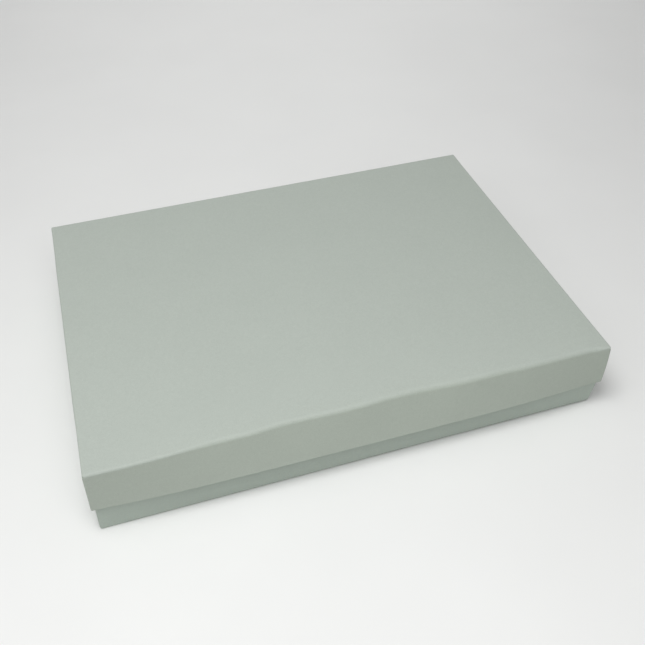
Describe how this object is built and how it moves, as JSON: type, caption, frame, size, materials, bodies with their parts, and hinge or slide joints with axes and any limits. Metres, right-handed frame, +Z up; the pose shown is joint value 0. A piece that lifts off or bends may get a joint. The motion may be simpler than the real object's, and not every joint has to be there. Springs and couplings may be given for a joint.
{
  "type": "archival box",
  "caption": "Shallow lift-off-lid archival box for A4 papers: a folded board tray under a deep drop-on lid, corners held by wire stitches.",
  "frame": {"origin": "middle of the tray's underside, on the surface that the box stands on", "axes": "+X along the box's length, +Y towards its back, +Z up, the way that the lid lifts off"},
  "size_m": [0.3184, 0.232, 0.051],
  "materials": {
    "tray_board": "matte, fine-fibred solid board, grey-green through its thickness",
    "lid_board": "matte, fine-fibred solid board, grey-green through its thickness",
    "stitch_wire": "dull stainless flat wire"
  },
  "bodies": {
    "tray": {"tray_bottom_panel": "tray_board", "tray_front_wall": "tray_board", "tray_back_wall": "tray_board", "tray_left_end_wall": "tray_board", "tray_right_end_wall": "tray_board", "tray_front_left_tab": "tray_board", "tray_front_right_tab": "tray_board", "tray_back_left_tab": "tray_board", "tray_back_right_tab": "tray_board", "tray_front_left_stitch_lower": "stitch_wire", "tray_front_left_stitch_upper": "stitch_wire", "tray_front_right_stitch_lower": "stitch_wire", "tray_front_right_stitch_upper": "stitch_wire", "tray_back_left_stitch_lower": "stitch_wire", "tray_back_left_stitch_upper": "stitch_wire", "tray_back_right_stitch_lower": "stitch_wire", "tray_back_right_stitch_upper": "stitch_wire"},
    "lid": {"lid_top_panel": "lid_board", "lid_front_wall": "lid_board", "lid_back_wall": "lid_board", "lid_left_end_wall": "lid_board", "lid_right_end_wall": "lid_board", "lid_front_left_tab": "lid_board", "lid_front_right_tab": "lid_board", "lid_back_left_tab": "lid_board", "lid_back_right_tab": "lid_board", "lid_front_left_stitch": "stitch_wire", "lid_front_right_stitch": "stitch_wire", "lid_back_left_stitch": "stitch_wire", "lid_back_right_stitch": "stitch_wire"}
  },
  "joints": [
    {"name": "lid_lift", "type": "slide", "parent": "tray", "child": "lid", "axis": [0, 0, 1], "range_m": [0, 0.12]}
  ]
}
